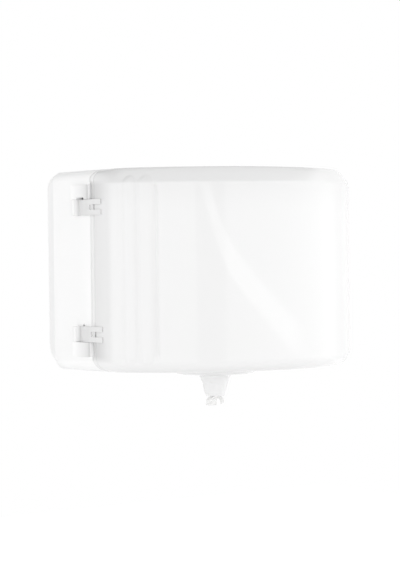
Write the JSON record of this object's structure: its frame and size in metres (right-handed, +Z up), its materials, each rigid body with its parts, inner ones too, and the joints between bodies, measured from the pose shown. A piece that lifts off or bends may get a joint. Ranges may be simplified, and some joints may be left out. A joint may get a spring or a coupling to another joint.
{
  "type": "centrefeed roll dispenser",
  "caption": "Wall-mounted centrefeed paper roll dispenser with a side-hinged bowed front cover, a lock and a tapered outlet nozzle underneath.",
  "frame": {"origin": "centre of the flat back face that lies against the wall", "axes": "+X to the right as seen from the front, -Y out of the wall towards the front, +Z up"},
  "size_m": [0.2767, 0.213, 0.219],
  "materials": {
    "casing_plastic": "satin white moulded plastic",
    "cover_plastic": "glossy white moulded plastic",
    "nozzle_plastic": "glossy white moulded plastic",
    "clip_plastic": "satin white moulded plastic",
    "plated_steel": "zinc-plated steel",
    "lock_chrome": "bright nickel-plated lock",
    "tissue_paper": "wound soft tissue paper",
    "tissue_tail": "twisted soft tissue paper"
  },
  "bodies": {
    "casing": {"rear_casing": "casing_plastic", "roll_shelf": "casing_plastic", "shelf_screw_1": "plated_steel", "shelf_screw_2": "plated_steel", "shelf_screw_3": "plated_steel", "shelf_screw_4": "plated_steel", "outlet_dish": "cover_plastic", "dish_screw_1": "plated_steel", "dish_screw_2": "plated_steel", "dish_screw_3": "plated_steel", "feed_nozzle": "nozzle_plastic", "nozzle_ring_nut": "casing_plastic", "paper_roll": "tissue_paper", "paper_tail": "tissue_tail", "upper_hinge_pin": "plated_steel", "lower_hinge_pin": "plated_steel"},
    "cover": {"front_cover": "cover_plastic", "upper_hinge_clip": "clip_plastic", "lower_hinge_clip": "clip_plastic", "lock_housing": "lock_chrome", "lock_nut": "plated_steel"},
    "lock": {"lock_barrel": "lock_chrome", "lock_cam": "plated_steel", "cam_screw": "plated_steel"}
  },
  "joints": [
    {"name": "cover_hinge", "type": "hinge", "parent": "casing", "child": "cover", "pos_m": [-0.1376, -0.0753, 0], "axis": [0, 0, -1], "range_deg": [0, 110]},
    {"name": "lock_turn", "type": "hinge", "parent": "cover", "child": "lock", "pos_m": [0.1343, -0.114, 0], "axis": [1, 0, 0], "range_deg": [0, 90]}
  ]
}
